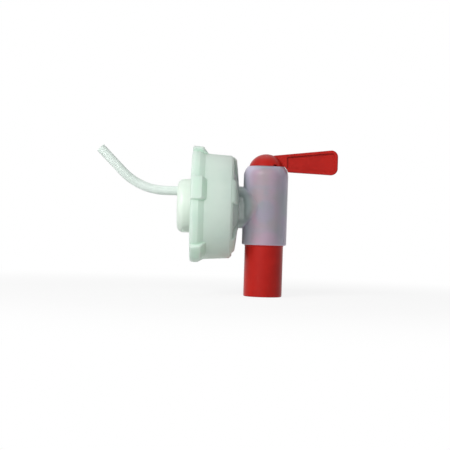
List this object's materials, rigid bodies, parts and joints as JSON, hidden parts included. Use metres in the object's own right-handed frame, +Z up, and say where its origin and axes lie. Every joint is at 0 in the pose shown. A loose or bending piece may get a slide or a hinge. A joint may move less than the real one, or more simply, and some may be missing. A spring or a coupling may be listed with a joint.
{
  "type": "bag in box tap",
  "caption": "Vented screw-cap dispensing tap: a quarter-turn plug valve with lever and spout in an upright barrel, a bent vent tube and a lugged cap for a threaded container neck.",
  "frame": {"origin": "on the screw cap's axis at the face of the gasket where the container's rim seals", "axes": "+X along the cap's axis, out of the container towards the valve and its lever; +Z up along the valve's axis, towards the lever's dome; spout down"},
  "size_m": [0.1514, 0.075, 0.0934],
  "materials": {
    "natural_cap": "natural polyethylene, satin, slightly translucent",
    "gasket_foam": "matt foam",
    "natural_hub": "natural polypropylene, satin",
    "seal_rubber": "smooth rubber",
    "translucent_body": "milky translucent polypropylene, smooth",
    "natural_tube": "natural polyethylene tube, satin",
    "red_plastic": "moulded red polyethylene, semi-gloss"
  },
  "bodies": {
    "cap": {"screw_cap": "natural_cap"},
    "tap": {"tap_body": "translucent_body", "inlet_hub": "natural_hub", "cap_gasket": "gasket_foam", "hub_o_ring": "seal_rubber", "vent_tube": "natural_tube"},
    "valve": {"valve_plug": "red_plastic", "lever": "red_plastic", "plug_upper_o_ring": "seal_rubber", "plug_lower_o_ring": "seal_rubber"}
  },
  "joints": [
    {"name": "tap_swivel", "type": "hinge", "parent": "cap", "child": "tap", "pos_m": [0, 0, 0], "axis": [1, 0, 0], "continuous": true},
    {"name": "valve_turn", "type": "hinge", "parent": "tap", "child": "valve", "pos_m": [0.0269, 0, 0], "axis": [0, 0, 1], "range_deg": [-90, 0]}
  ]
}
